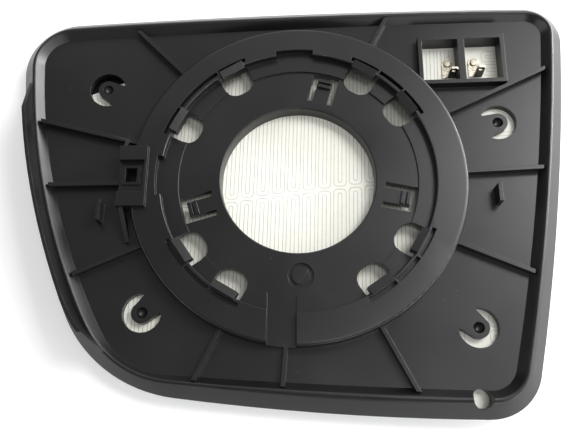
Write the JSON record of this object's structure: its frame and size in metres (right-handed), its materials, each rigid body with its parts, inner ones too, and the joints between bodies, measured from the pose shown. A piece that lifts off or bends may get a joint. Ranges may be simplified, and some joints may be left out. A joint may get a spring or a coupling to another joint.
{
  "type": "car door mirror glass",
  "caption": "Heated convex door mirror glass bonded to a black plastic backing plate with a round snap-fit hub for the mirror actuator and blade terminals for the heater film.",
  "frame": {"origin": "on the hub axis, in the mouth of the hub bore, level with the deck round it", "axes": "+Z out of the back of the plate along the hub axis, +X right and +Y up as seen from the back; the part lies on its convex glass"},
  "size_m": [0.1894, 0.1428, 0.0181],
  "materials": {
    "black_plastic": "satin injection moulding",
    "mirror": "silvered glass",
    "film": "pale film with printed heater tracks",
    "terminal": "tin plated strip",
    "rivet": "tin plated"
  },
  "bodies": {
    "root": {"backing_plate": "black_plastic", "mirror_glass": "mirror", "heater_film": "film", "terminal_left": "terminal", "terminal_right": "terminal", "rivet_left": "rivet", "rivet_right": "rivet"}
  },
  "joints": []
}
